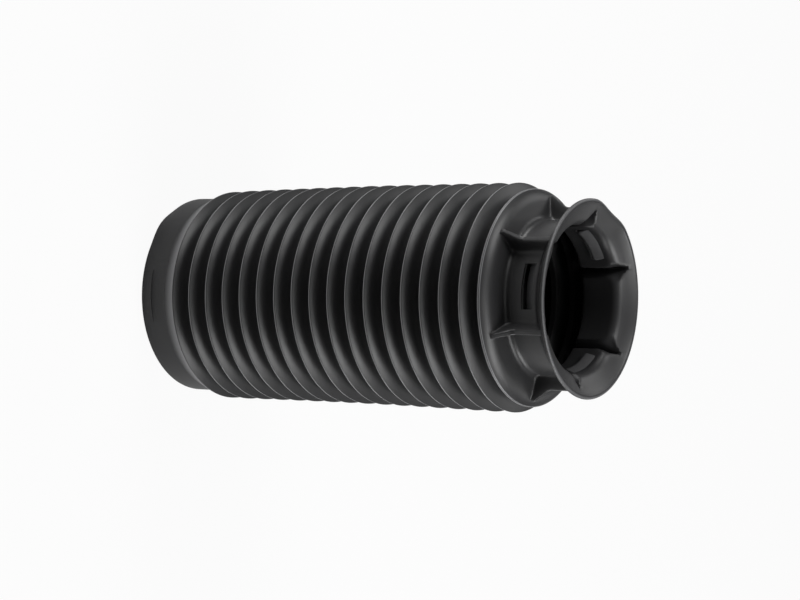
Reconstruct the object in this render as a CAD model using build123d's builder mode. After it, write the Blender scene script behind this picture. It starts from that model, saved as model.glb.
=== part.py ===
from build123d import *
import math
import os

# Rubber bellows boot for a suspension strut. It stands on its plain cuff, with the mouth up.
# Origin: centre of the cuff's open end. +Z runs along the boot's axis to the mouth. Millimetres.

# ---- Driving dimensions -------------------------------------------------------------------

# Folds
FIRST_CREST_RADIUS = 49.3
LAST_CREST_RADIUS = 50.7
FOLD_DEPTH = 7.8
CREST_LAND = 1.6
FOLD_PITCH = 9.78
FOLD_COUNT = 17
WALL = 1.6

# Cuff that grips the strut tube
CUFF_RADIUS = 46.0
CUFF_BORE_RADIUS = 43.8
CUFF_HEIGHT = 14.0
FIRST_CREST_HEIGHT = 21.06
CUFF_LEAD_IN = 0.8

# Shoulder above the last fold
SHOULDER_RADIUS = 48.0
SHOULDER_RISE = 8.3
SHOULDER_FACE_RISE = 4.0
SHOULDER_FACE_RADIUS = 39.5

# Neck and flared mouth
NECK_RADIUS = 34.0
NECK_WALL = 1.8
NECK_START_RISE = 8.5
NECK_LENGTH = 12.26
FLARE_RISE = 7.7
INNER_FLARE_DELAY = 2.2
MOUTH_RADIUS = 43.4
LIP_HEIGHT = 1.2
LIP_WIDTH = 1.7

# Hollow ribs that brace the neck
RIB_COUNT = 6
RIB_ANGLE = -9.0
RIB_WIDTH = 3.2
RIB_SLOT_WIDTH = 1.3
RIB_RADIUS = 40.3
RIB_END_RADIUS = 46.0
RIB_END_RISE = 3.8
RIB_KNEE_RISE = 12.2
RIB_SLOT_RADIUS = 38.8
RIB_SLOT_OVERCUT = 1.0

# Windows in every second neck panel, each with a snap lug along its upper edge
WINDOW_COUNT = 3
WINDOW_WIDTH = 19.8
WINDOW_HEIGHT = 5.6
WINDOW_BELOW_FLARE = 2.4
WINDOW_CUT_DEPTH = 7.2
LUG_ARC = 32.0
LUG_REACH = 2.3
LUG_NOSE = 1.2
LUG_DROP = 1.8
LUG_RISE = 6.0

# ---- Derived sizes ------------------------------------------------------------------------

# The folds widen evenly from the cuff to the shoulder
CREST_STEP = (LAST_CREST_RADIUS - FIRST_CREST_RADIUS) / (FOLD_COUNT - 1)

# Each flank runs from the edge of a crest's land to the root beside it
FLANK_RUN = FOLD_PITCH / 2 - CREST_LAND / 2
FLANK_ANGLE = math.atan2(FLANK_RUN, FOLD_DEPTH)

# The wall is as thick across the flanks as elsewhere, so the inside of a crest comes to a point
# and the inside of a root has a land of its own
INNER_CREST_INSET = WALL / math.sin(FLANK_ANGLE) - CREST_LAND / 2 / math.tan(FLANK_ANGLE)
INNER_ROOT_LAND = 2 * WALL * math.tan(math.pi / 4 - FLANK_ANGLE / 2)

LAST_CREST_HEIGHT = FIRST_CREST_HEIGHT + (FOLD_COUNT - 1) * FOLD_PITCH
SHOULDER_HEIGHT = LAST_CREST_HEIGHT + SHOULDER_RISE
SHOULDER_GROOVE_HEIGHT = SHOULDER_HEIGHT - SHOULDER_RISE / 2
NECK_START_HEIGHT = SHOULDER_HEIGHT + NECK_START_RISE
FLARE_START_HEIGHT = NECK_START_HEIGHT + NECK_LENGTH
MOUTH_HEIGHT = FLARE_START_HEIGHT + FLARE_RISE
NECK_INNER_RADIUS = NECK_RADIUS - NECK_WALL
NECK_MID_RADIUS = NECK_RADIUS - NECK_WALL / 2
PANEL_ANGLE = RIB_ANGLE + 180.0 / RIB_COUNT
WINDOW_TOP_HEIGHT = FLARE_START_HEIGHT - WINDOW_BELOW_FLARE
LUG_NOSE_RADIUS = NECK_INNER_RADIUS - LUG_REACH
LUG_NOSE_HEIGHT = WINDOW_TOP_HEIGHT - LUG_DROP


def edge(radius, height, land):
    """Both sides of a flat land, or the one point of a sharp edge, as (radius, height)."""
    if land == 0:
        return [(radius, height)]
    return [(radius, height - land / 2), (radius, height + land / 2)]


def fold_points(crest_inset, crest_land, root_inset, root_land):
    """Crests and roots of the bellows from the cuff up, with the groove below the shoulder."""
    points = []
    for fold in range(FOLD_COUNT):
        crest_radius = FIRST_CREST_RADIUS + fold * CREST_STEP
        crest_height = FIRST_CREST_HEIGHT + fold * FOLD_PITCH
        root_height = min(crest_height + FOLD_PITCH / 2, SHOULDER_GROOVE_HEIGHT)
        points += edge(crest_radius - crest_inset, crest_height, crest_land)
        points += edge(crest_radius - FOLD_DEPTH - root_inset, root_height, root_land)
    return points


# Outside of the wall, from the cuff's open end to the lip
outer = [(CUFF_RADIUS, 0.0), (CUFF_RADIUS, CUFF_HEIGHT)]
outer += fold_points(0, CREST_LAND, 0, 0)
outer += edge(SHOULDER_RADIUS, SHOULDER_HEIGHT, CREST_LAND)
outer += [
    (SHOULDER_FACE_RADIUS, SHOULDER_HEIGHT + SHOULDER_FACE_RISE),
    (NECK_RADIUS, NECK_START_HEIGHT),
    (NECK_RADIUS, FLARE_START_HEIGHT),
    (MOUTH_RADIUS, MOUTH_HEIGHT - LIP_HEIGHT),
    (MOUTH_RADIUS, MOUTH_HEIGHT),
]

# Inside of the wall, in the same order
inner = [
    (CUFF_BORE_RADIUS + CUFF_LEAD_IN, 0.0),
    (CUFF_BORE_RADIUS, CUFF_LEAD_IN),
    (CUFF_BORE_RADIUS, CUFF_HEIGHT + WALL),
]
inner += fold_points(INNER_CREST_INSET, 0, WALL, INNER_ROOT_LAND)
inner += [
    (SHOULDER_RADIUS - WALL, SHOULDER_HEIGHT - WALL / 2),
    (SHOULDER_FACE_RADIUS - WALL, SHOULDER_HEIGHT + SHOULDER_FACE_RISE - WALL),
    (NECK_INNER_RADIUS, NECK_START_HEIGHT),
    (NECK_INNER_RADIUS, FLARE_START_HEIGHT + INNER_FLARE_DELAY),
    (MOUTH_RADIUS - LIP_WIDTH, MOUTH_HEIGHT),
]

# One rib seen from the side: it stands on the middle of the wall, and its ridge leaves the
# shoulder, bends at the knee and runs to the flare
rib_outline = [
    (NECK_MID_RADIUS, NECK_START_HEIGHT),
    (SHOULDER_FACE_RADIUS, SHOULDER_HEIGHT + SHOULDER_FACE_RISE - WALL / 2),
    (RIB_END_RADIUS, SHOULDER_HEIGHT),
    (RIB_END_RADIUS, SHOULDER_HEIGHT + RIB_END_RISE),
    (RIB_RADIUS, SHOULDER_HEIGHT + RIB_KNEE_RISE),
    (RIB_RADIUS, MOUTH_HEIGHT - LIP_HEIGHT - WALL),
    (NECK_MID_RADIUS, FLARE_START_HEIGHT),
]

# The slot inside a rib, open to the bore of the neck
slot_outline = [
    (NECK_INNER_RADIUS - RIB_SLOT_OVERCUT, SHOULDER_HEIGHT - WALL),
    (RIB_END_RADIUS - WALL, SHOULDER_HEIGHT - WALL),
    (RIB_END_RADIUS - WALL, SHOULDER_HEIGHT + RIB_END_RISE - WALL),
    (RIB_SLOT_RADIUS, SHOULDER_HEIGHT + RIB_KNEE_RISE - WALL),
    (RIB_SLOT_RADIUS, MOUTH_HEIGHT),
    (NECK_INNER_RADIUS - RIB_SLOT_OVERCUT, MOUTH_HEIGHT),
]

# Section of a snap lug: a blunt nose that hangs a little below the window's upper edge, and a long
# ramp above it that runs out into the flare
lug_section = [
    (LUG_NOSE_RADIUS, LUG_NOSE_HEIGHT),
    (LUG_NOSE_RADIUS + LUG_NOSE, LUG_NOSE_HEIGHT),
    (NECK_MID_RADIUS, WINDOW_TOP_HEIGHT),
    (NECK_MID_RADIUS, LUG_NOSE_HEIGHT + LUG_RISE),
]

# ---- The boot -----------------------------------------------------------------------------

with BuildPart() as rib:
    with BuildSketch(Plane.XZ):
        with BuildLine():
            Polyline(rib_outline, close=True)
        make_face()
    extrude(amount=RIB_WIDTH / 2, both=True)

with BuildPart() as rib_slot:
    with BuildSketch(Plane.XZ):
        with BuildLine():
            Polyline(slot_outline, close=True)
        make_face()
    extrude(amount=RIB_SLOT_WIDTH / 2, both=True)

with BuildPart() as snap_lug:
    with BuildSketch(Plane.XZ.rotated((0, 0, -LUG_ARC / 2))):
        with BuildLine():
            Polyline(lug_section, close=True)
        make_face()
    revolve(axis=Axis.Z, revolution_arc=LUG_ARC)

with BuildPart() as bellows_boot:
    # Wall of the cuff, folds, shoulder, neck and mouth, turned about the axis
    with BuildSketch(Plane.XZ):
        with BuildLine():
            Polyline([(0.0, 0.0)] + outer + [(0.0, MOUTH_HEIGHT)], close=True)
        make_face()
        with BuildLine():
            Polyline([(0.0, 0.0)] + inner + [(0.0, MOUTH_HEIGHT)], close=True)
        make_face(mode=Mode.SUBTRACT)
    revolve(axis=Axis.Z)

    # Six hollow ribs round the neck
    with PolarLocations(0, RIB_COUNT, start_angle=RIB_ANGLE):
        add(rib.part)
        add(rib_slot.part, mode=Mode.SUBTRACT)

    # Windows in every second panel, each with a snap lug along its upper edge
    with PolarLocations(NECK_RADIUS, WINDOW_COUNT, start_angle=PANEL_ANGLE):
        with Locations((0, 0, WINDOW_TOP_HEIGHT - WINDOW_HEIGHT / 2)):
            Box(WINDOW_CUT_DEPTH, WINDOW_WIDTH, WINDOW_HEIGHT, mode=Mode.SUBTRACT)
    with PolarLocations(0, WINDOW_COUNT, start_angle=PANEL_ANGLE):
        add(snap_lug.part)

bellows_boot.part.label = "bellows_boot"

os.makedirs("parts", exist_ok=True)
export_step(bellows_boot.part, "parts/bellows_boot.step")
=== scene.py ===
"""Looks of a moulded rubber bellows boot, built over its CAD solid.

The boot is one moulding, so one mesh stands for it: a closed wall that runs up the outside of the
cuff, folds, shoulder, neck and mouth and back down their inside. Sizes are in millimetres, and
heights are measured from the cuff's open end, on which the boot stands.
"""

import logging
import math
from dataclasses import dataclass, field
from enum import Enum
from itertools import accumulate
from typing import Any, Iterable, Sequence

import bpy
from mathutils import Euler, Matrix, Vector


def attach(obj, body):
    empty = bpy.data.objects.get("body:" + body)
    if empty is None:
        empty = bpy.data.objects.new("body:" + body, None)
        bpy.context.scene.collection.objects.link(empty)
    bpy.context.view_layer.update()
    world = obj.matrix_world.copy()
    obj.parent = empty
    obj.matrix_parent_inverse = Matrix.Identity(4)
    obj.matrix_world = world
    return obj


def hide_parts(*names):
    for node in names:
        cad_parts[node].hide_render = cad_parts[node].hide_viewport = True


MM = 0.001
NODE = "bellows_boot"
BODY = "root"
PIECE = "rubber_boot"

# How far from a window's edge, in millimetres, a ring may stand and still count as on it
WINDOW_SLACK = 0.01

# The least width of a fillet beside a slot, which keeps a slot of no depth from a width of none
LEAST_REACH = 0.05

# The mesh attribute that says how much painted highlight each point carries
PAINTED_HIGHLIGHT = "painted_highlight"

# Colour sockets of Blender's Mix node, whose other kinds of value use the same names
MIX_A = 6
MIX_B = 7
MIX_RESULT = 2

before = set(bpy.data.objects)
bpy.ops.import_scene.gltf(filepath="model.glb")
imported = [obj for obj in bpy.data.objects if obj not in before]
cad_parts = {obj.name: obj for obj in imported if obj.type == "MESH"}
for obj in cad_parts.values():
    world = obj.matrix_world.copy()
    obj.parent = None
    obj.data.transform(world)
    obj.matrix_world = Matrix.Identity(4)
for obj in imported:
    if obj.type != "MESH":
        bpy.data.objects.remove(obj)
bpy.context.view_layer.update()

log = logging.getLogger("bellows_boot")

Point = tuple[float, float]


class Skin(Enum):
    """Which skin of the wall a ring is on. The ribs and slots don't shape a plain ring."""

    PLAIN = "plain"
    OUTSIDE = "outside"
    INSIDE = "inside"


# ---- Small tools ----------------------------------------------------------------------------


def linear(hex_colour: str) -> tuple[float, float, float, float]:
    """Turns an sRGB hex colour into linear values.

    Args:
        hex_colour: Six hex digits after a hash.

    Returns:
        Linear red, green and blue, with an alpha of one.
    """
    parts = [int(hex_colour[i : i + 2], 16) / 255 for i in (1, 3, 5)]
    values = [c / 12.92 if c <= 0.04045 else ((c + 0.055) / 1.055) ** 2.4 for c in parts]
    return (values[0], values[1], values[2], 1.0)


def add_node(
    tree: bpy.types.NodeTree,
    kind: str,
    settings: dict[str | int, Any] | None = None,
    links: dict[str | int, bpy.types.NodeSocket] | None = None,
) -> bpy.types.Node:
    """Adds a shader node with its settings and links.

    Args:
        tree: The node tree that gets the node.
        kind: Blender's name for the kind of node.
        settings: Values by the name of a property, or by the name or number of an input socket.
        links: Output sockets that feed the node's inputs, by the input's name or number.

    Returns:
        The new node.
    """
    node = tree.nodes.new(kind)
    for name, value in (settings or {}).items():
        if isinstance(name, str) and hasattr(node, name):
            setattr(node, name, value)
        else:
            node.inputs[name].default_value = value
    for name, source in (links or {}).items():
        tree.links.new(source, node.inputs[name])
    return node


def empty_tree(owner: bpy.types.Material | bpy.types.World) -> bpy.types.NodeTree:
    """Turns on the nodes of a material or a world, and takes the default ones out.

    Args:
        owner: The material or world.

    Returns:
        Its empty node tree.
    """
    owner.use_nodes = True
    owner.node_tree.nodes.clear()
    return owner.node_tree


def smooth(t: float) -> float:
    """Eases from 0 to 1 as t goes from 0 to 1."""
    t = min(1.0, max(0.0, t))
    return t * t * (3 - 2 * t)


def hump(angle: float, middle: float, arc: float) -> float:
    """A soft hump round the axis.

    Args:
        angle: Where to take it, in radians.
        middle: The hump's middle, in degrees.
        arc: Degrees from its middle to its ends.

    Returns:
        From 0 outside the hump to 1 at its middle.
    """
    side = math.degrees(math.remainder(angle - math.radians(middle), 2 * math.pi))
    return math.cos(math.pi / 2 * min(1.0, abs(side) / arc)) ** 2


@dataclass(frozen=True)
class Corner:
    """One corner of a profile, with the radius that rounds it off and the steps of its arc."""

    r: float
    z: float
    fillet: float = 0.0
    steps: int = 2


def rounded(corners: Sequence[Corner]) -> list[Point]:
    """Rounds the corners of a profile.

    Args:
        corners: The profile's corners, in order.

    Returns:
        Points (radius, height) along the rounded profile.
    """
    points: list[Point] = []
    for i, corner in enumerate(corners):
        here = Vector((corner.r, corner.z))
        if corner.fillet <= 0 or i in (0, len(corners) - 1):
            points.append((here.x, here.y))
            continue
        before = (Vector((corners[i - 1].r, corners[i - 1].z)) - here).normalized()
        after = (Vector((corners[i + 1].r, corners[i + 1].z)) - here).normalized()
        half = math.acos(max(-1.0, min(1.0, before.dot(after)))) / 2
        centre = here + (before + after).normalized() * (corner.fillet / math.sin(half))
        start = here + before * (corner.fillet / math.tan(half)) - centre
        end = here + after * (corner.fillet / math.tan(half)) - centre
        turn = start.angle_signed(end)
        for step in range(corner.steps + 1):
            angle = -turn * step / corner.steps
            c, s = math.cos(angle), math.sin(angle)
            spot = centre + Vector((start.x * c - start.y * s, start.x * s + start.y * c))
            points.append((spot.x, spot.y))
    return points


def along(points: Sequence[Point], share: float) -> Point:
    """Finds the point at a share of a polyline's length.

    Args:
        points: The polyline.
        share: From 0 at its start to 1 at its end.

    Returns:
        The point (radius, height).
    """
    runs = [math.dist(a, b) for a, b in zip(points, points[1:])]
    left = share * sum(runs)
    for (a, b), run in zip(zip(points, points[1:]), runs):
        if left <= run and run > 0:
            t = left / run
            return (a[0] + (b[0] - a[0]) * t, a[1] + (b[1] - a[1]) * t)
        left -= run
    return points[-1]


@dataclass
class Shell:
    """A closed surface in millimetres: its points, its faces and how much painted highlight each
    point carries.
    """

    points: list[Vector] = field(default_factory=list)
    faces: list[list[int]] = field(default_factory=list)
    painted_highlight: list[float] = field(default_factory=list)

    def join(self, other: "Shell") -> None:
        """Takes in another shell.

        Args:
            other: The shell, which stays as it is.
        """
        first = len(self.points)
        self.points += other.points
        self.faces += [[first + i for i in face] for face in other.faces]
        self.painted_highlight += other.painted_highlight


# ---- Finishes -------------------------------------------------------------------------------


@dataclass(frozen=True)
class MouldedRubber:
    """Black EPDM rubber as it leaves a mould: a fine satin skin with a soft, wide highlight."""

    colour: str = "#2a2a2b"
    dusty_colour: str = "#333334"
    # The pale colour of the painted highlight on crest edges, lip and lug ramps
    highlight_colour: str = "#8c8c8e"
    roughness: float = 0.4
    ior: float = 1.52
    cloud_mm: float = 18.0
    grain_mm: float = 0.35
    grain_depth_mm: float = 0.05
    grain_strength: float = 0.12

    def material(self) -> bpy.types.Material:
        """Builds the material.

        Returns:
            The material, with noise laid out in the object's own metres.
        """
        material = bpy.data.materials.new("moulded_rubber")
        tree = empty_tree(material)
        place = add_node(tree, "ShaderNodeTexCoord").outputs["Object"]
        # A faint cloudiness from the release agent, about a thumb's width across
        clouds = add_node(
            tree,
            "ShaderNodeTexNoise",
            {"Scale": 1 / (self.cloud_mm * MM), "Detail": 3.0},
            {"Vector": place},
        )
        tint = add_node(
            tree,
            "ShaderNodeMix",
            {
                "data_type": "RGBA",
                MIX_A: linear(self.colour),
                MIX_B: linear(self.dusty_colour),
            },
            {"Factor": clouds.outputs["Fac"]},
        )
        # Painted highlight on crest edges, lip and lug ramps: a paler colour standing in for light
        painted_highlight = add_node(tree, "ShaderNodeAttribute", {"attribute_name": PAINTED_HIGHLIGHT})
        highlit = add_node(
            tree,
            "ShaderNodeMix",
            {"data_type": "RGBA", MIX_B: linear(self.highlight_colour)},
            {"Factor": painted_highlight.outputs["Fac"], MIX_A: tint.outputs[MIX_RESULT]},
        )
        # The eroded mould's grain breaks the highlight up. Real grain is near 0.05 mm, too fine to
        # show, so it is drawn coarser.
        grain = add_node(
            tree,
            "ShaderNodeTexNoise",
            {"Scale": 1 / (self.grain_mm * MM), "Detail": 2.0},
            {"Vector": place},
        )
        relief = add_node(
            tree,
            "ShaderNodeBump",
            {"Strength": self.grain_strength, "Distance": self.grain_depth_mm * MM},
            {"Height": grain.outputs["Fac"]},
        )
        shader = add_node(
            tree,
            "ShaderNodeBsdfPrincipled",
            {"Roughness": self.roughness, "IOR": self.ior},
            {"Base Color": highlit.outputs[MIX_RESULT], "Normal": relief.outputs["Normal"]},
        )
        add_node(tree, "ShaderNodeOutputMaterial", links={"Surface": shader.outputs["BSDF"]})
        return material


@dataclass(frozen=True)
class StudioPaper:
    """White seamless paper under the boot, which keeps a pale shadow."""

    colour: str = "#d4d4d4"
    glow: float = 1.0
    glow_share: float = 0.93

    def material(self) -> bpy.types.Material:
        """Builds the material.

        Returns:
            The material, which looks white to the camera and lights the boot as paper does.
        """
        material = bpy.data.materials.new("studio_paper")
        tree = empty_tree(material)
        paper = add_node(tree, "ShaderNodeBsdfDiffuse", {"Color": linear(self.colour)})
        glow = add_node(tree, "ShaderNodeEmission", {"Strength": self.glow})
        rays = add_node(tree, "ShaderNodeLightPath")
        share = add_node(
            tree,
            "ShaderNodeMath",
            {"operation": "MULTIPLY", 1: self.glow_share},
            {0: rays.outputs["Is Camera Ray"]},
        )
        mix = add_node(
            tree,
            "ShaderNodeMixShader",
            links={0: share.outputs[0], 1: paper.outputs["BSDF"], 2: glow.outputs["Emission"]},
        )
        add_node(tree, "ShaderNodeOutputMaterial", links={"Surface": mix.outputs[0]})
        return material


# ---- The boot -------------------------------------------------------------------------------


@dataclass(frozen=True)
class Row:
    """One ring of the wall: its plain place, and where a rib's middle pushes it to."""

    r: float
    z: float
    skin: Skin = Skin.PLAIN
    rib_r: float = 0.0
    rib_z: float = 0.0
    rib_width: float = 1.0
    # How much painted highlight the ring carries
    painted_highlight: float = 0.0


@dataclass
class Cuff:
    """Plain sleeve that grips the strut tube."""

    radius: float = 46.0
    bore_radius: float = 43.8
    lead_in: float = 0.8
    height: float = 14.0

    # The rounded edge of the open end, and the fillets into the first fold, outside and inside
    end_round: float = 0.6
    top_drop: float = 0.6
    top_round: float = 3.0
    bore_round: float = 1.5

    # The short witness line that the mould's insert leaves, with its place and reach in degrees
    mark_height: float = 6.0
    mark_width: float = 0.45
    mark_depth: float = 0.35
    mark_angle: float = -90.0
    mark_arc: float = 20.0
    mark_fade: float = 8.0

    # The free end is a little wider towards one side, with one soft bulge
    swell: float = 0.35
    swell_angle: float = -100.0
    bulge: float = 1.0
    bulge_angle: float = -135.0
    bulge_arc: float = 16.0

    def outside(self) -> list[Corner]:
        """Corners from the bore's edge, round the open end and up to the first fold."""
        return [
            Corner(self.bore_radius + self.lead_in, 0.0),
            Corner(self.radius, 0.0, self.end_round, 3),
            Corner(self.radius, self.mark_height - self.mark_width),
            Corner(self.radius, self.mark_height),
            Corner(self.radius, self.mark_height + self.mark_width),
            Corner(self.radius, self.height - self.top_drop, self.top_round, 4),
        ]

    def mark(self, z: float, angle: float) -> float:
        """How far the witness line stands out of the cuff.

        Args:
            z: Height up the cuff.
            angle: Radians round the axis.

        Returns:
            The change of radius.
        """
        side = math.degrees(math.remainder(angle - math.radians(self.mark_angle), 2 * math.pi))
        across = max(0.0, 1 - abs(z - self.mark_height) / self.mark_width)
        return self.mark_depth * across * smooth((self.mark_arc - abs(side)) / self.mark_fade)

    def slack(self, z: float, angle: float) -> float:
        """How far the cuff's soft free end stands out of round.

        Args:
            z: Height up the cuff.
            angle: Radians round the axis.

        Returns:
            The change of radius.
        """
        share = max(0.0, 1 - z / self.height)
        swell = self.swell * max(0.0, math.cos(angle - math.radians(self.swell_angle)))
        return share * (swell + self.bulge * hump(angle, self.bulge_angle, self.bulge_arc))

    def inside(self, wall: float) -> list[Corner]:
        """Corners from the folds down to the bore's edge.

        Args:
            wall: The thickness of the boot's wall.

        Returns:
            The corners, from the top down.
        """
        return [
            Corner(self.bore_radius, self.height + wall, self.bore_round, 2),
            Corner(self.bore_radius, self.lead_in),
            Corner(self.bore_radius + self.lead_in, 0.0),
        ]


@dataclass
class Folds:
    """The row of folds, each a ring with a rounded crest and a rounded root beside it."""

    count: int = 17
    pitch: float = 9.78
    first_crest: float = 21.06
    first_radius: float = 49.3
    last_radius: float = 50.66
    depth: float = 8.8
    wall: float = 1.6
    belly: float = 0.15

    # Fillets of crests and roots outside, and how they change with each millimetre of wall inside
    crest_round: float = 0.5
    crest_easing: float = 0.45
    root_round: float = 0.6
    root_easing: float = 0.5

    # How much deeper than the folds the sharp zigzag is whose slope their flanks take
    overshoot: float = 3.0

    # The first fold is a little smaller than its row, and the last one stands a little higher
    first_trim: float = 0.65
    last_lift: float = 0.5

    def crest(self, fold: int) -> float:
        """Radius of a fold's rounded crest; the folds widen evenly from the cuff up."""
        return self.first_radius + (self.last_radius - self.first_radius) * fold / (self.count - 1)

    def apexes(self, offset: float) -> tuple[float, float, float, float]:
        """Sharp corners of the zigzag whose rounding gives the crest and root radii.

        Args:
            offset: How far the zigzag is pushed into the wall, square to the flanks.

        Returns:
            How far the apexes of crest and root stand out from the crest's radius, then the
            fillets of crest and root.
        """
        run = self.depth + self.overshoot
        slope = math.atan2(self.pitch / 2, run)
        lean = math.atan2(2 * self.belly, math.hypot(self.pitch / 2, run))
        crest = self.crest_round * (1 / math.sin(slope + lean) - 1) - offset / math.sin(slope)
        root = self.root_round * (1 / math.sin(slope - lean) - 1) + offset / math.sin(slope)
        crest_fillet = self.crest_round - offset * self.crest_easing
        root_fillet = self.root_round + offset * self.root_easing
        return crest, -self.depth - root, crest_fillet, root_fillet

    def flank(self, low: Corner, high: Corner) -> Corner:
        """Finds the middle of a flank, which bellies out a little.

        Args:
            low: The corner at the flank's lower end.
            high: The corner at its upper end.

        Returns:
            The corner between them.
        """
        run = Vector((high.r - low.r, high.z - low.z))
        out = Vector((run.y, -run.x)).normalized() * self.belly
        return Corner((low.r + high.r) / 2 + out.x, (low.z + high.z) / 2 + out.y)

    def corners(self, last_root: float, offset: float, steps: tuple[int, int]) -> list[Corner]:
        """Corners of the zigzag from the cuff up.

        Args:
            last_root: Height of the groove under the shoulder.
            offset: How far the zigzag is pushed into the wall.
            steps: Arc steps of a crest and of a root.

        Returns:
            The corners, from the bottom up.
        """
        crest, root, crest_fillet, root_fillet = self.apexes(offset)
        corners: list[Corner] = []
        for fold in range(self.count):
            radius = self.crest(fold)
            height = self.first_crest + fold * self.pitch
            above = min(height + self.pitch / 2, last_root)
            trim = self.first_trim if fold == 0 else 0.0
            lift = self.last_lift if fold == self.count - 1 else 0.0
            tip = Corner(radius + crest - trim, height + lift, crest_fillet, steps[0])
            groove = Corner(radius + root, above, root_fillet, steps[1])
            if offset:
                corners += [tip, groove]
                continue
            if fold:
                corners.append(self.flank(corners[-1], tip))
            corners += [tip, self.flank(tip, groove), groove]
        return corners


@dataclass
class Neck:
    """Shoulder, neck and flared mouth above the folds."""

    # The shoulder's rounded edge, outside and inside, and the groove under it
    shoulder_radius: float = 48.0
    shoulder_height: float = 185.84
    shoulder_apex: float = 0.55
    shoulder_drop: float = 0.3
    shoulder_round: float = 0.9
    groove_drop: float = 4.15
    inner_shoulder_radius: float = 46.8
    inner_shoulder_drop: float = 0.75
    inner_shoulder_round: float = 0.7

    # The dome above the edge, its nearly level face, and the fillet at the neck's foot
    knuckle_radius: float = 45.6
    knuckle_rise: float = 3.3
    knuckle_round: float = 8.5
    face_rise: float = 4.3
    face_radius: float = 39.5
    face_rings: tuple[float, ...] = (41.2, 39.5, 37.6)
    foot_round: float = 3.0
    foot_top: float = 195.8

    # The underside of dome and face, with its rises measured from the shoulder's height
    underside_foot_rise: float = 6.2
    underside_foot_round: float = 1.2
    underside_bend_reach: float = 2.2
    underside_bend_rise: float = 4.6
    underside_bend_round: float = 2.0
    underside_face_inset: float = 0.4
    underside_face_rise: float = 2.6
    underside_edge_radius: float = 43.4
    underside_edge_rise: float = 1.9

    # The neck and the windows in it
    radius: float = 34.0
    wall: float = 1.8
    window_count: int = 3
    window_top: float = 204.2
    window_height: float = 5.6
    window_margin: float = 0.8
    inner_window_margin: float = 2.5

    # The flare, outside and inside, with the inside's rings as (radius, depth under the mouth)
    flare_start: float = 206.6
    flare_foot_drop: float = 0.2
    flare_foot_round: float = 2.6
    flare_middle_reach: float = 6.0
    flare_middle_rise: float = 4.0
    inner_flare_start: float = 209.3
    inner_flare_round: float = 5.0
    inner_flare_rings: tuple[Point, ...] = ((39.0, 1.75), (37.2, 2.6))

    # The mouth's lip, whose top edge carries a painted highlight
    mouth_height: float = 214.3
    mouth_radius: float = 43.3
    lip_height: float = 1.2
    lip_width: float = 1.7
    lip_under_inset: float = 0.9
    lip_under_drop: float = 0.5
    lip_under_round: float = 1.4
    lip_foot_rise: float = 0.1
    lip_foot_round: float = 0.4
    lip_round: float = 0.8
    lip_inner_round: float = 0.5
    lip_inner_step: float = 0.6
    lip_inner_drop: float = 0.5
    lip_highlight: float = 0.3
    lip_highlight_drop: float = 0.35

    # The soft rim stands a little out of round, and has one shallow dent
    oval: float = 0.3
    dent: float = 1.9
    dent_angle: float = 155.5
    dent_arc: float = 20.0

    @property
    def groove_height(self) -> float:
        """Height of the groove under the shoulder."""
        return self.shoulder_height - self.groove_drop

    @property
    def inner_radius(self) -> float:
        """Radius of the neck's bore."""
        return self.radius - self.wall

    @property
    def window_foot(self) -> float:
        """Height of a window's lower edge."""
        return self.window_top - self.window_height

    @property
    def window_middle(self) -> float:
        """Height of a window's middle."""
        return (self.window_foot + self.window_top) / 2

    def shoulder(self) -> Corner:
        """The outer corner of the shoulder's rounded edge."""
        radius = self.shoulder_radius + self.shoulder_apex
        return Corner(radius, self.shoulder_height - self.shoulder_drop, self.shoulder_round, 5)

    def inner_shoulder(self) -> Corner:
        """The corner inside the shoulder's edge."""
        height = self.shoulder_height - self.inner_shoulder_drop
        return Corner(self.inner_shoulder_radius, height, self.inner_shoulder_round, 2)

    def face(self, radius: float) -> Corner:
        """Finds a corner on the shoulder's nearly level face.

        Args:
            radius: Its distance from the axis.

        Returns:
            The corner, with no fillet.
        """
        share = (self.knuckle_radius - radius) / (self.knuckle_radius - self.face_radius)
        rise = self.knuckle_rise + (self.face_rise - self.knuckle_rise) * share
        return Corner(radius, self.shoulder_height + rise)

    def outside(self) -> list[Corner]:
        """Lays out the outside, from the shoulder's knuckle up the neck and round the lip.

        Returns:
            The corners, from the bottom up.
        """
        foot = self.face(self.radius)
        flare_foot = self.flare_start - self.flare_foot_drop
        flare_middle = self.flare_start + self.flare_middle_rise
        lip_foot = self.mouth_height - self.lip_height
        under = self.mouth_radius - self.lip_under_inset
        return [
            Corner(self.knuckle_radius, self.face(self.knuckle_radius).z, self.knuckle_round, 10),
            *(self.face(radius) for radius in self.face_rings),
            Corner(foot.r, foot.z, self.foot_round, 7),
            Corner(self.radius, self.foot_top),
            Corner(self.radius, self.window_foot - self.window_margin),
            Corner(self.radius, self.window_foot),
            Corner(self.radius, self.window_middle),
            Corner(self.radius, self.window_top),
            Corner(self.radius, flare_foot, self.flare_foot_round, 4),
            Corner(self.radius + self.flare_middle_reach, flare_middle),
            Corner(under, lip_foot - self.lip_under_drop, self.lip_under_round, 2),
            Corner(self.mouth_radius, lip_foot + self.lip_foot_rise, self.lip_foot_round, 2),
            Corner(self.mouth_radius, self.mouth_height, self.lip_round, 5),
        ]

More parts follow.
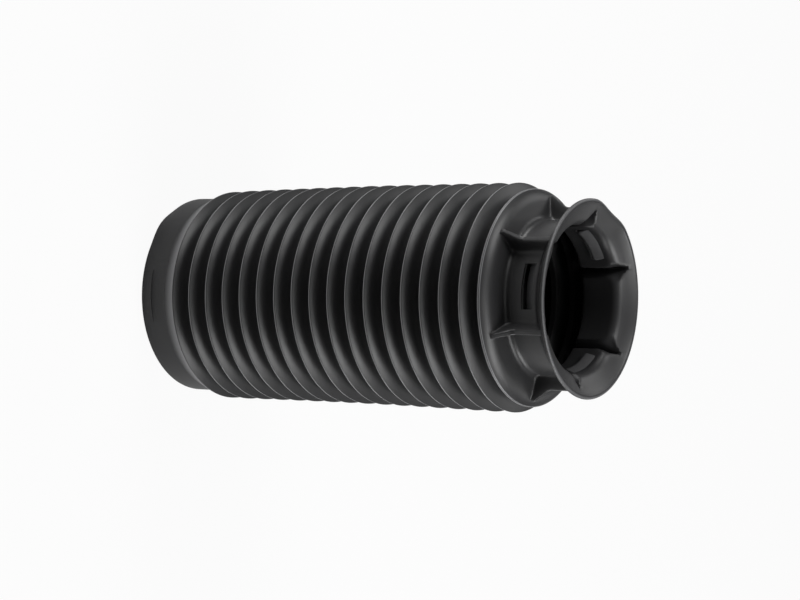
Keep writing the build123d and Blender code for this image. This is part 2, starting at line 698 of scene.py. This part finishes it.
    def inside(self) -> list[Corner]:
        """Lays out the inside, from the lip down the neck's bore and out under the shoulder.

        Returns:
            The corners, from the top down.
        """
        lip = self.mouth_radius - self.lip_width
        lip_foot = self.mouth_height - self.lip_inner_drop
        bore = self.inner_radius
        top = self.shoulder_height
        bend = bore + self.underside_bend_reach
        face = self.face_radius - self.underside_face_inset
        return [
            Corner(lip, self.mouth_height, self.lip_inner_round, 2),
            Corner(lip - self.lip_inner_step, lip_foot, self.lip_round, 2),
            *(Corner(r, self.mouth_height - depth) for r, depth in self.inner_flare_rings),
            Corner(bore, self.inner_flare_start, self.inner_flare_round, 7),
            Corner(bore, self.window_top),
            Corner(bore, self.window_middle),
            Corner(bore, self.window_foot),
            Corner(bore, self.window_foot - self.inner_window_margin),
            Corner(bore, top + self.underside_foot_rise, self.underside_foot_round, 3),
            Corner(bend, top + self.underside_bend_rise, self.underside_bend_round, 2),
            Corner(face, top + self.underside_face_rise),
            Corner(self.underside_edge_radius, top + self.underside_edge_rise),
        ]

    def rim(self, z: float, angle: float) -> float:
        """How far the flare stands out of round, growing towards its lip.

        Args:
            z: Height up the neck.
            angle: Radians round the axis.

        Returns:
            The change of radius.
        """
        share = max(0.0, z - self.flare_start) / (self.mouth_height - self.flare_start)
        hollow = self.dent * hump(angle, self.dent_angle, self.dent_arc)
        return share * (self.oval * math.cos(2 * angle) - hollow)


@dataclass
class Ribs:
    """Six hollow ribs that brace the neck, seen as plates outside and as slots inside."""

    count: int = 6
    first_angle: float = -9.0

    # The ridge: its blunt, narrow tip on the shoulder, its knee and its straight run to the flare.
    # It widens from the tip over a share of the way to the knee, and the highest ring below the
    # knee stands just short of it.
    ridge_radius: float = 40.4
    tip_radius: float = 45.7
    tip_foot: float = 2.5
    tip_rise: float = 4.6
    tip_round: float = 0.5
    tip_width: float = 0.75
    tip_share: float = 0.7
    knee_rise: float = 12.2
    knee_bend: float = 0.8
    knee_round: float = 4.5
    knee_share: float = 0.999

    # How far out from the rib's middle plane its surface is still lifted, as (mm, share)
    lift: tuple[Point, ...] = (
        (0.0, 1.0),
        (0.65, 1.0),
        (0.95, 0.985),
        (1.15, 0.94),
        (1.3, 0.84),
        (1.7, 0.2),
        (1.95, 0.09),
        (2.5, 0.03),
        (3.4, 0.0),
    )

    # The slot, which opens into a wide cusp where the mouth flares. The powers set how hollow
    # the fillets at its edges are, and those fillets are full where the slot is this deep.
    slot_radius: float = 38.8
    slot_tip_radius: float = 44.2
    slot_half_width: float = 0.65
    slot_reach: float = 2.3
    slot_power: float = 2.6
    slot_full_depth: float = 5.5
    cusp_reach: float = 2.1
    cusp_power: float = 2.0

    def panel_angle(self, panel: int) -> float:
        """Degrees round the axis of the middle of a panel between two ribs."""
        return self.first_angle + (panel + 0.5) * 360 / self.count

    def share(self, offset: float) -> float:
        """How much of the rib's height stands at an offset from its middle plane.

        Args:
            offset: Distance from the middle plane.

        Returns:
            From 0 on the plain neck to 1 on the rib's ridge.
        """
        offset = abs(offset)
        for (a, lift_a), (b, lift_b) in zip(self.lift, self.lift[1:]):
            if offset <= b:
                return lift_a + (lift_b - lift_a) * (offset - a) / (b - a)
        return 0.0

    def slot_share(self, offset: float, row: Row, neck: Neck) -> float:
        """How much of a slot's depth is cut at an offset from its middle plane.

        Args:
            offset: Distance from the rib's middle plane.
            row: The ring that the slot cuts.
            neck: The neck that carries the ribs. Where it flares, the slot opens into a wide cusp.

        Returns:
            From 0 outside the slot to 1 at its floor.
        """
        depth = max(0.0, row.rib_r - row.r)
        flared = smooth((row.z - neck.window_top) / (neck.inner_flare_start - neck.window_top))
        reach = self.slot_reach + self.cusp_reach * flared
        reach *= min(1.0, depth / self.slot_full_depth)
        power = self.slot_power + (self.cusp_power - self.slot_power) * flared
        away = (abs(offset) - self.slot_half_width) / max(LEAST_REACH, reach)
        return 1.0 if away <= 0 else max(0.0, 1 - away) ** power

    def ridge(self, neck: Neck, start: Point) -> list[Point]:
        """The rib's ridge from its blunt tip on the shoulder to its knee.

        Args:
            neck: The neck that carries the ribs.
            start: The point (radius, height) of the shoulder where the tip stands up.

        Returns:
            Points (radius, height).
        """
        foot = neck.shoulder_height
        knee = foot + self.knee_rise
        return rounded(
            [
                Corner(start[0], start[1]),
                Corner(self.tip_radius, foot + self.tip_rise, self.tip_round, 3),
                Corner(self.ridge_radius, knee - self.knee_bend, self.knee_round, 5),
                Corner(self.ridge_radius, knee),
            ]
        )

    def outside_rows(self, profile: Sequence[Point], neck: Neck) -> list[Row]:
        """Pairs the plain outside of shoulder, neck and mouth with the ridge of a rib.

        Args:
            profile: Points (radius, height) from the shoulder's edge up to the lip.
            neck: The neck that carries the ribs.

        Returns:
            The rings from the bottom up, of which those below the ribs' feet are plain.
        """
        foot = neck.shoulder_height + self.tip_foot
        knee = neck.shoulder_height + self.knee_rise
        rows = [Row(r, z) for r, z in profile if z <= foot]
        lower = [point for point in profile if foot < point[1] < knee]
        ridge = self.ridge(neck, lower[0])
        lengths = [0.0, *accumulate(math.dist(a, b) for a, b in zip(lower, lower[1:]))]
        for (r, z), length in zip(lower, lengths):
            share = self.knee_share * length / lengths[-1]
            rib_r, rib_z = along(ridge, share)
            width = self.tip_width + (1 - self.tip_width) * smooth(share / self.tip_share)
            rows.append(Row(r, z, Skin.OUTSIDE, rib_r, rib_z, width))
        # The lip's top edge carries a painted highlight
        highlight_from = neck.mouth_height - neck.lip_highlight_drop
        for r, z in profile:
            if z >= knee:
                painted_highlight = neck.lip_highlight if z > highlight_from else 0.0
                rows.append(Row(r, z, Skin.OUTSIDE, max(r, self.ridge_radius), z, painted_highlight=painted_highlight))
        return rows

    def inside_row(self, point: Point, neck: Neck) -> Row:
        """Pairs a point of the plain bore with the floor of the slot behind it.

        Args:
            point: The plain point (radius, height).
            neck: The neck that carries the ribs.

        Returns:
            The ring.
        """
        r, z = point
        knee = neck.shoulder_height + self.knee_rise
        t = smooth((knee - z) / (self.knee_rise - self.tip_rise))
        floor = self.slot_radius + (self.slot_tip_radius - self.slot_radius) * t
        return Row(r, z, Skin.INSIDE, max(r, floor), z)


@dataclass(frozen=True)
class Column:
    """One line of vertices that runs up the wall, on one side of a rib."""

    rib: int
    side: int
    step: int


@dataclass
class Columns:
    """Where the wall's vertices stand round the axis, finer at the ribs and the windows' sides."""

    ribs: Ribs
    window_half_width: float = 9.9
    parallel_radius: float = 46.5

    # Distances from a rib's middle plane, steps across, then distances from a panel's middle plane
    rib_offsets: tuple[float, ...] = (
        0.0, 0.35, 0.65, 0.95, 1.15, 1.3, 1.5, 1.7, 1.95, 2.5, 3.1, 3.8, 4.6, 5.6
    )
    between: int = 3
    panel_offsets: tuple[float, ...] = (10.3, 9.9, 9.5, 7.7, 5.8, 3.9, 1.9, 0.0)

    @property
    def half(self) -> int:
        """Steps from a rib's middle to the middle of the panel beside it."""
        return len(self.rib_offsets) + self.between + len(self.panel_offsets) - 1

    def all(self) -> list[Column]:
        """Lists every column, from the first rib round.

        Returns:
            The columns of each rib's two sides, out to the middle of the panels.
        """
        columns: list[Column] = []
        for rib in range(self.ribs.count):
            columns += [Column(rib, 1, step) for step in range(self.half + 1)]
            columns += [Column(rib + 1, -1, step) for step in range(self.half - 1, 0, -1)]
        return columns

    def offset(self, column: Column) -> float | None:
        """Distance of a column from its rib's middle plane, or None away from the rib."""
        return self.rib_offsets[column.step] if column.step < len(self.rib_offsets) else None

    def angle(self, column: Column, plain: float, lifted: float, width: float) -> float:
        """Where a column stands at one ring.

        Args:
            column: The column.
            plain: The ring's radius away from the ribs.
            lifted: The radius of the column's own vertex.
            width: The rib's width at this ring, as a share of its full width.

        Returns:
            Radians round the axis. Below the shoulder's edge a column keeps its angle, and above
            it the columns of a rib and of a window's side run parallel to their middle plane.
        """
        plain = min(plain, self.parallel_radius)
        lifted = min(lifted, self.parallel_radius)
        half = math.pi / self.ribs.count
        near = len(self.rib_offsets)
        far = near + self.between
        if column.step < near:
            away = math.asin(self.rib_offsets[column.step] * width / lifted)
        elif column.step >= far:
            away = half - math.asin(self.panel_offsets[column.step - far] / plain)
        else:
            start = math.asin(self.rib_offsets[-1] * width / plain)
            end = half - math.asin(self.panel_offsets[0] / plain)
            away = start + (end - start) * (column.step - near + 1) / (self.between + 1)
        return math.radians(self.ribs.first_angle) + 2 * half * column.rib + column.side * away

    def window_columns(self, window: int) -> range:
        """Columns of the faces that a window removes.

        Args:
            window: The window's number, in every second panel.

        Returns:
            Column numbers of the faces.
        """
        width = len(self.panel_offsets) - 1 - self.panel_offsets.index(self.window_half_width)
        middle = 2 * self.half * (2 * window) + self.half
        return range(middle - width, middle + width)


@dataclass
class SnapLugs:
    """Curved snap lugs that stand inwards above the windows, with a blunt nose and a long ramp."""

    half_arc: float = 18.0
    root_radius: float = 33.3
    nose_radius: float = 30.7
    nose_width: float = 1.0
    nose_height: float = 199.9
    nose_face: float = 1.6
    nose_round: float = 0.5
    ramp_end_radius: float = 33.0
    ramp_end_height: float = 207.2
    ramp_end_round: float = 0.3
    ramp_end_land: float = 0.5
    # The painted highlight on the ramp, which makes it read as lit
    ramp_highlight: float = 0.24

    # The rounded ends, whose faces sink by up to this much while they turn through these degrees
    end_round: float = 0.8
    end_turns: tuple[float, ...] = (0.0, 30.0, 60.0, 90.0)
    stations: int = 18

    def section(self, neck: Neck) -> list[Point]:
        """The lug's section, from its root under the nose round to its root on the flare.

        Args:
            neck: The neck that carries it.

        Returns:
            Points (radius, height).
        """
        return rounded(
            [
                Corner(self.root_radius, neck.window_top),
                Corner(self.nose_radius + self.nose_width, self.nose_height, self.nose_round, 2),
                Corner(self.nose_radius, self.nose_height, self.nose_round, 3),
                Corner(self.nose_radius, self.nose_height + self.nose_face),
                Corner(self.ramp_end_radius, self.ramp_end_height, self.ramp_end_round, 2),
                Corner(self.root_radius, self.ramp_end_height + self.ramp_end_land),
            ]
        )

    def spots(self) -> list[Point]:
        """Lays out the places along the lug at which its section stands.

        Returns:
            Each place as (degrees from the lug's middle, share of the ends' rounding).
        """
        end = math.degrees(self.end_round / self.nose_radius)
        turns = [math.radians(turn) for turn in self.end_turns]
        ends = [(end * (1 - math.cos(t)) - self.half_arc, 1 - math.sin(t)) for t in turns]
        reach = self.half_arc - end
        middle = [((2 * i / self.stations - 1) * reach, 0.0) for i in range(1, self.stations)]
        return ends + middle + [(-turn, share) for turn, share in reversed(ends)]

    def shell(self, neck: Neck, angle: float) -> Shell:
        """Builds one lug as a closed ring sector with rounded ends.

        Args:
            neck: The neck that carries it.
            angle: Degrees round the axis of the window's middle.

        Returns:
            The lug, whose ramp carries a painted highlight.
        """
        section = self.section(neck)
        ramp = self.nose_height + self.nose_face / 2
        spots = self.spots()
        shell = Shell()
        for turn, share in spots:
            around = math.radians(angle + turn)
            for r, z in section:
                r += min(1.0, self.root_radius - r) * share * self.end_round
                shell.points.append(Vector((r * math.cos(around), r * math.sin(around), z)))
                # The ramp above the nose face's middle carries the painted highlight
                shell.painted_highlight.append(self.ramp_highlight if z > ramp else 0.0)
        n = len(section)
        last = n * (len(spots) - 1)
        shell.faces += [list(range(n)), [last + i for i in reversed(range(n))]]
        for a in range(0, last, n):
            b = a + n
            for i in range(n):
                j = (i + 1) % n
                shell.faces.append([a + j, a + i, b + i, b + j])
        return shell


@dataclass
class BellowsBoot:
    """The whole moulding, as one closed mesh."""

    cuff: Cuff = field(default_factory=Cuff)
    folds: Folds = field(default_factory=Folds)
    neck: Neck = field(default_factory=Neck)
    ribs: Ribs = field(default_factory=Ribs)
    lugs: SnapLugs = field(default_factory=SnapLugs)
    finish: MouldedRubber = field(default_factory=MouldedRubber)

    # The soft lower end bends sideways from this height down
    bend_start: float = 109.0
    bend_reach: float = 88.0
    bend_depth: float = 1.25
    bend_power: float = 1.4

    # Arc steps of crests and roots, outside and inside, and where shading turns sharp, in degrees
    outer_steps: tuple[int, int] = (4, 2)
    inner_steps: tuple[int, int] = (1, 1)
    sharp_angle: float = 38.0

    def outside_rows(self) -> list[Row]:
        """Lays out the rings of the outer skin.

        Returns:
            The rings, from the cuff's open end to the lip.
        """
        neck = self.neck
        shoulder = neck.shoulder()
        folds = self.folds.corners(neck.groove_height, 0.0, self.outer_steps)
        low = rounded([*self.cuff.outside(), *folds, shoulder, neck.outside()[0]])
        high = rounded([shoulder, *neck.outside(), neck.inside()[0]])
        # Crest edges carry a painted highlight
        rows = [Row(*low[i], painted_highlight=self.highlight_share(i, low)) for i in range(1, len(low) - 1)]
        return rows + self.ribs.outside_rows(high[1:-1], neck)

    def highlight_share(self, i: int, section: Sequence[Point]) -> float:
        """How much painted highlight a ring of the wall carries: the very edge of each crest
        carries one.

        Args:
            i: The ring's place in its section.
            section: The section that the ring belongs to, from the cuff up.

        Returns:
            1 on the edge of a crest and on the ring just below it, and 0 elsewhere.
        """
        if section[i][1] < self.cuff.height + 1:
            return 0.0
        reach = self.folds.pitch / 4
        for r, z in section[i : i + 2]:
            if r == max(p[0] for p in section if abs(p[1] - z) < reach):
                return 1.0
        return 0.0

    def inside_rows(self) -> list[Row]:
        """Lays out the rings of the inner skin.

        Returns:
            The rings, from the lip back down to the cuff's open end.
        """
        neck = self.neck
        wall = self.folds.wall
        folds = self.folds.corners(neck.groove_height, wall, self.inner_steps)
        high = rounded([neck.outside()[-1], *neck.inside()])
        low = rounded(
            [neck.inside()[-1], neck.inner_shoulder(), *reversed(folds), *self.cuff.inside(wall)]
        )
        return [self.ribs.inside_row(point, neck) for point in high[1:]] + [
            Row(r, z) for r, z in low[1:]
        ]

    def bend(self, z: float) -> float:
        """How far the soft boot's lower end bends sideways.

        Args:
            z: Height up the boot. The cuff moves as one with the first fold.

        Returns:
            The shift along X.
        """
        z = max(z, self.folds.first_crest)
        share = max(0.0, self.bend_start - z) / self.bend_reach
        return self.bend_depth * share**self.bend_power

    def crossing(self, row: Row, line: Column, columns: Columns) -> Vector:
        """Where a ring and a column of the wall cross.

        Args:
            row: The ring.
            line: The column.
            columns: Where the columns stand round the axis.

        Returns:
            The point in millimetres.
        """
        offset = columns.offset(line)
        share = 0.0
        if offset is not None and row.skin is Skin.OUTSIDE:
            share = self.ribs.share(offset)
        elif offset is not None and row.skin is Skin.INSIDE:
            share = self.ribs.slot_share(offset, row, self.neck)
        r = row.r + (row.rib_r - row.r) * share
        z = row.z + (row.rib_z - row.z) * share
        turn = columns.angle(line, row.r, r, row.rib_width)
        r += self.neck.rim(z, turn) + self.cuff.slack(z, turn) + self.cuff.mark(z, turn)
        return Vector((r * math.cos(turn), r * math.sin(turn), z))

    def wall(self, columns: Columns) -> Shell:
        """Builds the closed wall with its windows.

        Args:
            columns: Where the columns stand round the axis.

        Returns:
            The wall, whose crests and lip carry a painted highlight.
        """
        rows = self.outside_rows() + self.inside_rows()
        lines = columns.all()
        count = len(lines)
        shell = Shell()
        for row in rows:
            shell.points += [self.crossing(row, line, columns) for line in lines]
            # Each ring's painted highlight, on all its points
            shell.painted_highlight += [row.painted_highlight] * count
        open_faces = self.window_faces(rows, columns)
        for i in range(len(rows)):
            a, b = i * count, (i + 1) % len(rows) * count
            for c in range(count):
                d = (c + 1) % count
                if (i, c) not in open_faces:
                    shell.faces.append([a + c, a + d, b + d, b + c])
        shell.faces += self.window_sides(rows, columns, count)
        return shell

    def window_rows(self, rows: Sequence[Row], skin: Skin) -> list[int]:
        """Finds the rings of one skin that a window's edges and middle are on.

        Args:
            rows: The rings of the wall.
            skin: The skin to look on.

        Returns:
            Numbers of the rings, from the window's lower edge up.
        """
        low, high = self.neck.window_foot - WINDOW_SLACK, self.neck.window_top + WINDOW_SLACK
        found = [i for i, row in enumerate(rows) if row.skin is skin and low < row.z < high]
        return sorted(found, key=lambda i: rows[i].z)

    def window_faces(self, rows: Sequence[Row], columns: Columns) -> set[tuple[int, int]]:
        """Finds the faces that the windows remove.

        Args:
            rows: The rings of the wall.
            columns: Where the columns stand round the axis.

        Returns:
            The faces, as (ring, column) of their first corner.
        """
        rings = self.window_rows(rows, Skin.OUTSIDE)[:-1] + self.window_rows(rows, Skin.INSIDE)[1:]
        taken: set[tuple[int, int]] = set()
        for window in range(self.neck.window_count):
            for column in columns.window_columns(window):
                taken.update((ring, column) for ring in rings)
        return taken

    def window_sides(self, rows: Sequence[Row], columns: Columns, count: int) -> list[list[int]]:
        """Builds the faces that join the outer and inner skin round each window's edge.

        Args:
            rows: The rings of the wall.
            columns: Where the columns stand round the axis.
            count: How many columns there are.

        Returns:
            The faces.
        """
        out = self.window_rows(rows, Skin.OUTSIDE)
        ins = self.window_rows(rows, Skin.INSIDE)
        foot, inner_foot, top, inner_top = (i * count for i in (out[0], ins[0], out[-1], ins[-1]))
        faces: list[list[int]] = []
        for window in range(self.neck.window_count):
            span = columns.window_columns(window)
            for c in span:
                faces.append([foot + c + 1, foot + c, inner_foot + c, inner_foot + c + 1])
                faces.append([top + c, top + c + 1, inner_top + c + 1, inner_top + c])
            for k in range(len(out) - 1):
                a, b, p, q = (i * count for i in (out[k], out[k + 1], ins[k], ins[k + 1]))
                faces.append([i + span.start for i in (a, b, q, p)])
                faces.append([i + span.stop for i in (b, a, p, q)])
        return faces

    def build(self) -> bpy.types.Object:
        """Makes the mesh, dresses it and puts it in place of the plain solid.

        Returns:
            The boot's object.
        """
        shell = self.wall(Columns(self.ribs))
        for window in range(self.neck.window_count):
            shell.join(self.lugs.shell(self.neck, self.ribs.panel_angle(2 * window)))
        for point in shell.points:
            point.x += self.bend(point.z)
        mesh = bpy.data.meshes.new(PIECE)
        mesh.from_pydata([tuple(point * MM) for point in shell.points], [], shell.faces)
        mesh.validate()
        mesh.materials.append(self.finish.material())
        # The painted highlight of crest edges, lip and lug ramps, as a mesh attribute
        mesh.attributes.new(PAINTED_HIGHLIGHT, "FLOAT", "POINT").data.foreach_set("value", shell.painted_highlight)
        boot = bpy.data.objects.new(PIECE, mesh)
        bpy.context.scene.collection.objects.link(boot)
        mesh.shade_smooth()
        mesh.set_sharp_from_angle(angle=math.radians(self.sharp_angle))
        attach(boot, BODY)
        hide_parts(NODE)
        return boot


# ---- The studio -----------------------------------------------------------------------------


@dataclass
class Softbox:
    """A square lamp that faces the boot's middle."""

    name: str
    place: tuple[float, float, float]
    watts: float
    size: float = 0.5
    target: tuple[float, float, float] = (0.0, 0.0, 0.11)

    def build(self) -> bpy.types.Object:
        """Adds the lamp.

        Returns:
            The lamp's object.
        """
        light = bpy.data.lights.new(self.name, "AREA")
        light.shape = "SQUARE"
        light.size = self.size
        light.energy = self.watts
        lamp = bpy.data.objects.new(self.name, light)
        lamp.location = self.place
        aim = Vector(self.target) - Vector(self.place)
        lamp.rotation_euler = aim.to_track_quat("-Z", "Y").to_euler()
        bpy.context.scene.collection.objects.link(lamp)
        return lamp


@dataclass
class Studio:
    """White floor, a white surround that gives little light, and soft lamps on both sides."""

    floor_size: float = 24.0
    surround_colour: str = "#ffffff"
    surround_light: float = 0.04
    paper: StudioPaper = field(default_factory=StudioPaper)
    lamps: tuple[Softbox, ...] = (
        Softbox("right_low", (1.20, 0.00, 0.22), 6.3),
        Softbox("left_low", (-1.20, 0.00, 0.22), 6.3),
        Softbox("left_front", (-1.08, -0.51, 0.22), 0.6),
        Softbox("right_high", (0.72, 0.00, 1.08), 5.6),
        Softbox("left_high", (-0.72, 0.00, 1.08), 5.2),
        Softbox("front_high", (0.00, -0.41, 1.25), 1.3),
        Softbox("top", (0.37, 0.00, 1.26), 2.6),
        Softbox("right_back", (0.52, 0.90, 0.72), 0.9),
        Softbox("left_back", (-0.52, 0.90, 0.72), 1.5),
    )

    def surround(self) -> bpy.types.World:
        """Builds the world: white to the camera, and dim as a light.

        Returns:
            The world.
        """
        world = bpy.data.worlds.new("studio_surround")
        tree = empty_tree(world)
        rays = add_node(tree, "ShaderNodeLightPath")
        strength = add_node(
            tree,
            "ShaderNodeMath",
            {"operation": "MAXIMUM", 1: self.surround_light},
            {0: rays.outputs["Is Camera Ray"]},
        )
        sky = add_node(
            tree,
            "ShaderNodeBackground",
            {"Color": linear(self.surround_colour)},
            {"Strength": strength.outputs[0]},
        )
        add_node(tree, "ShaderNodeOutputWorld", links={"Surface": sky.outputs[0]})
        return world

    def build(self) -> list[bpy.types.Object]:
        """Adds the floor, the surround and the lamps.

        Returns:
            The objects made.
        """
        half = self.floor_size / 2
        mesh = bpy.data.meshes.new("floor")
        corners = [(-half, -half, 0), (half, -half, 0), (half, half, 0), (-half, half, 0)]
        mesh.from_pydata(corners, [], [(0, 1, 2, 3)])
        mesh.materials.append(self.paper.material())
        floor = bpy.data.objects.new("floor", mesh)
        bpy.context.scene.collection.objects.link(floor)
        bpy.context.scene.world = self.surround()
        return [floor] + [lamp.build() for lamp in self.lamps]


@dataclass
class Viewpoint:
    """The camera, above the boot and turned so that its axis runs across the frame."""

    place: tuple[float, float, float] = (-0.00780, -0.87648, 0.69924)
    degrees: tuple[float, float, float] = (-1.7516, -56.2698, 91.4569)
    lens: float = 103.916

    def build(self) -> bpy.types.Object:
        """Adds the camera and makes it the scene's own.

        Returns:
            The camera's object.
        """
        data = bpy.data.cameras.new("camera")
        data.lens = self.lens
        data.clip_start = 0.05
        camera = bpy.data.objects.new("camera", data)
        camera.location = self.place
        camera.rotation_euler = Euler([math.radians(a) for a in self.degrees], "XYZ")
        bpy.context.scene.collection.objects.link(camera)
        bpy.context.scene.camera = camera
        return camera


def plain(box: Iterable[Iterable[float]]) -> list[list[float]]:
    """Turns a box of vectors into plain lists of numbers."""
    return [[float(value) for value in corner] for corner in box]


def main() -> None:
    """Builds the camera, the boot and the studio, in that order."""
    logging.basicConfig(level=logging.INFO, format="%(message)s")
    Viewpoint().build()
    boot = BellowsBoot().build()
    log.info("%s: %d faces", boot.name, len(boot.data.polygons))
    for piece in Studio().build():
        log.info("%s", piece.name)
    bpy.context.scene.view_settings.view_transform = "Standard"


if __name__ == "__main__":
    main()
